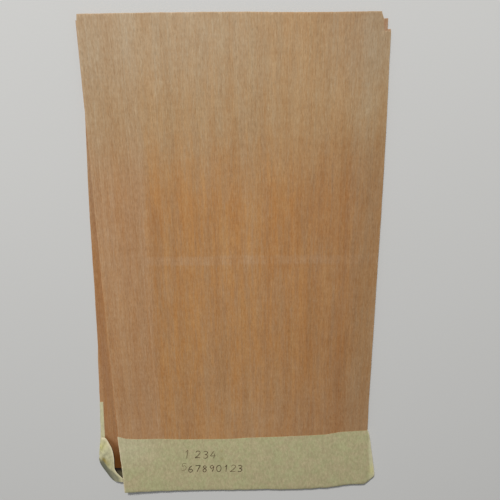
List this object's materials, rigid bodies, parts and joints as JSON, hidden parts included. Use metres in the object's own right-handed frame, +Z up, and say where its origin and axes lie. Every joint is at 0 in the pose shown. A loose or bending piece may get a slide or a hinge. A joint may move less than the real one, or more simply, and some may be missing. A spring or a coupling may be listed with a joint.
{
  "type": "wood veneer sheet bundle",
  "caption": "Bundle of thin rectangular wood veneer sheets lying flat, slightly fanned, held together at one end by a wrapped band of paper masking tape.",
  "frame": {"origin": "on the floor, under the middle of the bundle's box as it lies on its back", "axes": "+Y along the grain, away from the taped end; +X across the grain; +Z up, out of the front sheet's face"},
  "size_m": [0.2278, 0.3614, 0.005],
  "materials": {
    "front_veneer": "bare sliced veneer, tan brown with fine straight lengthwise grain and short pore flecks, matt with a faint silky sheen",
    "rear_veneer": "bare sliced veneer, tan brown, a little warmer and darker than the front sheet, matt",
    "paper_tape": "pale yellow-green creped paper masking tape, matt, finely mottled and creased"
  },
  "bodies": {
    "root": {"front_sheet": "front_veneer", "second_sheet": "rear_veneer", "third_sheet": "rear_veneer", "back_sheet": "rear_veneer", "masking_tape": "paper_tape"}
  },
  "joints": []
}
